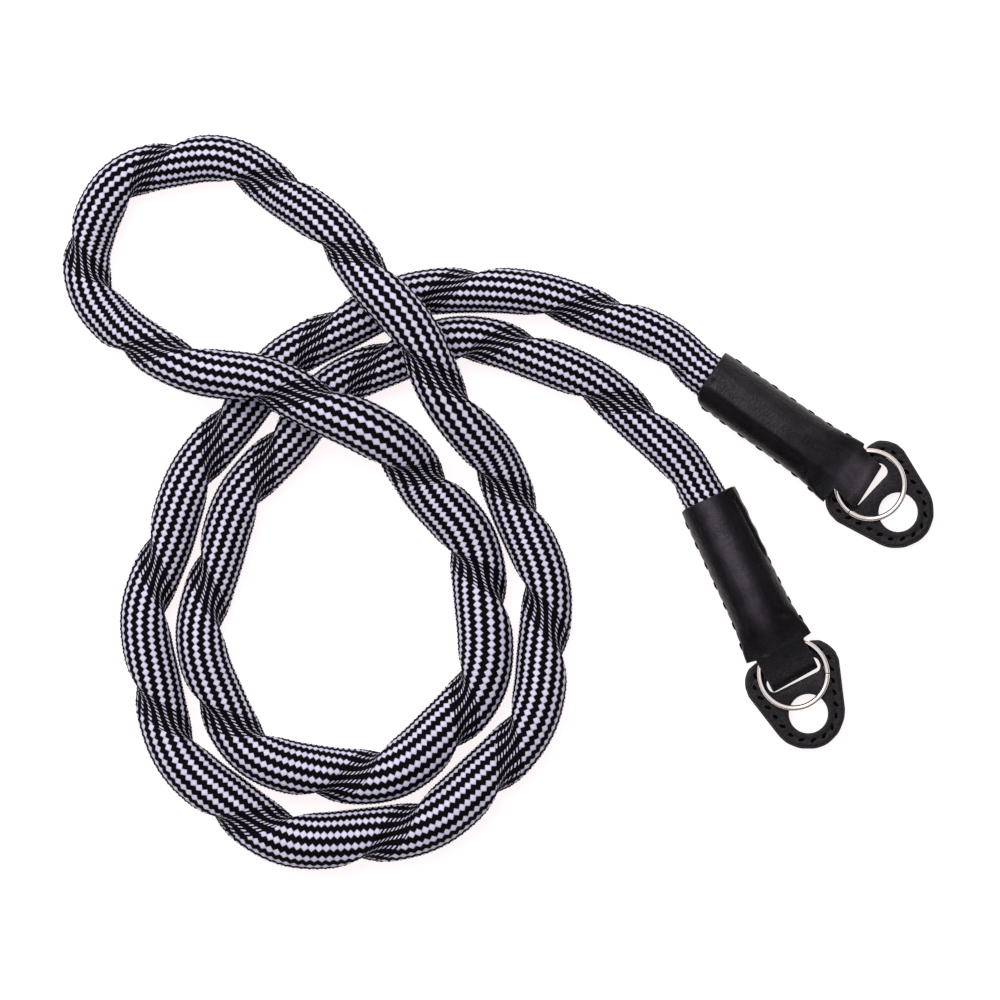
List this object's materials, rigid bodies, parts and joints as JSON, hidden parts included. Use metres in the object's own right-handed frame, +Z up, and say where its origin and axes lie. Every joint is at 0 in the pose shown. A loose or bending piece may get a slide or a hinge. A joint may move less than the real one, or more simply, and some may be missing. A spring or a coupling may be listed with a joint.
{
  "type": "coiled camera strap",
  "caption": "Padded braided rope strap lying in loose coils, with leather ends, split rings and leather lug guards for a camera.",
  "frame": {"origin": "middle of the ground that the coiled strap covers, on the surface it lies on", "axes": "+Z up from the surface, +X to the right of the picture along the coils' longest extent, +Y to the picture's top"},
  "size_m": [0.2433, 0.2048, 0.0309],
  "materials": {
    "braid": "matt braid, black with white diamonds",
    "black_leather": "smooth waxed leather",
    "nickel": "polished nickel plate"
  },
  "bodies": {
    "root": {"rope": "braid", "end_sleeve_a": "black_leather", "end_sleeve_b": "black_leather", "lug_guard_a": "black_leather", "lug_guard_b": "black_leather", "split_ring_a": "nickel", "split_ring_b": "nickel"}
  },
  "joints": []
}
